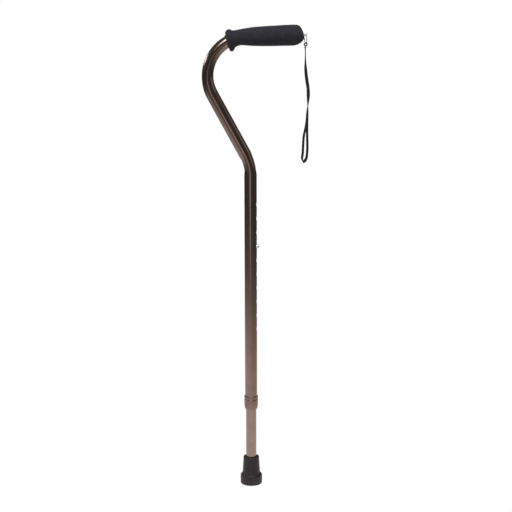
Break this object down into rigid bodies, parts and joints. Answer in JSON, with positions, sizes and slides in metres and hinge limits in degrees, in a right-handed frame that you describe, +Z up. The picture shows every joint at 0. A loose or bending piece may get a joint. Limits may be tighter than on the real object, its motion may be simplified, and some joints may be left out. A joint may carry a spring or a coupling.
{
  "type": "single point cane",
  "caption": "Offset single point cane: bent upper tube with foam grip and wrist strap, sliding on a lower tube with snap button, locking collar and rubber tip.",
  "frame": {"origin": "middle of the rubber tip's sole, on the floor", "axes": "+Z up along the lower tube, +X the way the grip's free end points, and the bent tube lies in the plane Y = 0"},
  "size_m": [0.1879, 0.04, 0.8384],
  "materials": {
    "bronze_anodised": "dark bronze anodised aluminium, smooth satin with crisp reflections",
    "bronze_leg": "light bronze anodised aluminium, satin",
    "collar_bronze": "bronze anodised aluminium, turned and polished",
    "grip_foam": "closed cell black foam rubber, matt with fine pores",
    "tip_rubber": "moulded black-brown rubber, dull sheen",
    "plated_steel": "bright nickel plate",
    "spring_steel": "blued spring strip",
    "black_plastic": "black moulded plastic",
    "white_nylon": "natural nylon",
    "webbing": "flat woven black webbing"
  },
  "bodies": {
    "leg": {"lower_tube": "bronze_leg", "guide_bush": "white_nylon", "button_spring": "spring_steel", "rubber_tip": "tip_rubber", "tip_washer": "plated_steel"},
    "button": {"snap_button": "plated_steel"},
    "handle": {"upper_tube": "bronze_anodised", "foam_grip": "grip_foam", "handle_plug": "black_plastic", "screw_eye": "plated_steel", "stop_ring": "collar_bronze"},
    "clamp": {"clamp_ring": "white_nylon"},
    "nut": {"lock_nut": "collar_bronze"},
    "ring": {"split_ring": "plated_steel"},
    "strap": {"strap_eye": "webbing", "strap_crimp": "black_plastic", "wrist_strap": "webbing"}
  },
  "joints": [
    {"name": "height_adjust", "type": "slide", "parent": "leg", "child": "handle", "axis": [0, 0, 1], "range_m": [-0.0762, 0.1524], "deforming": ["snap_button"]},
    {"name": "button_press", "type": "slide", "parent": "leg", "child": "button", "axis": [-1, 0, 0], "range_m": [0, 0.0055], "stiffness_N_per_m": 1500, "springref_m": -0.002, "deforming": ["button_spring"]},
    {"name": "collar_turn", "type": "hinge", "parent": "clamp", "child": "nut", "pos_m": [0, 0, 0.15], "axis": [0, 0, -1], "range_deg": [0, 270]},
    {"name": "collar_travel", "type": "slide", "parent": "handle", "child": "clamp", "axis": [0, 0, -1], "range_m": [0, 0.0012]},
    {"name": "ring_swing", "type": "hinge", "parent": "handle", "child": "ring", "pos_m": [0.0966, 0, 0.8193], "axis": [1, 0, 0], "range_deg": [-45, 45]},
    {"name": "strap_swing", "type": "hinge", "parent": "ring", "child": "strap", "pos_m": [0.0966, 0, 0.8057], "axis": [0.309, 0.9511, 0], "range_deg": [-45, 45]}
  ],
  "couplings": [
    {"joint": "collar_travel", "follows": "collar_turn", "m_per_rad": 0.00023873}
  ]
}
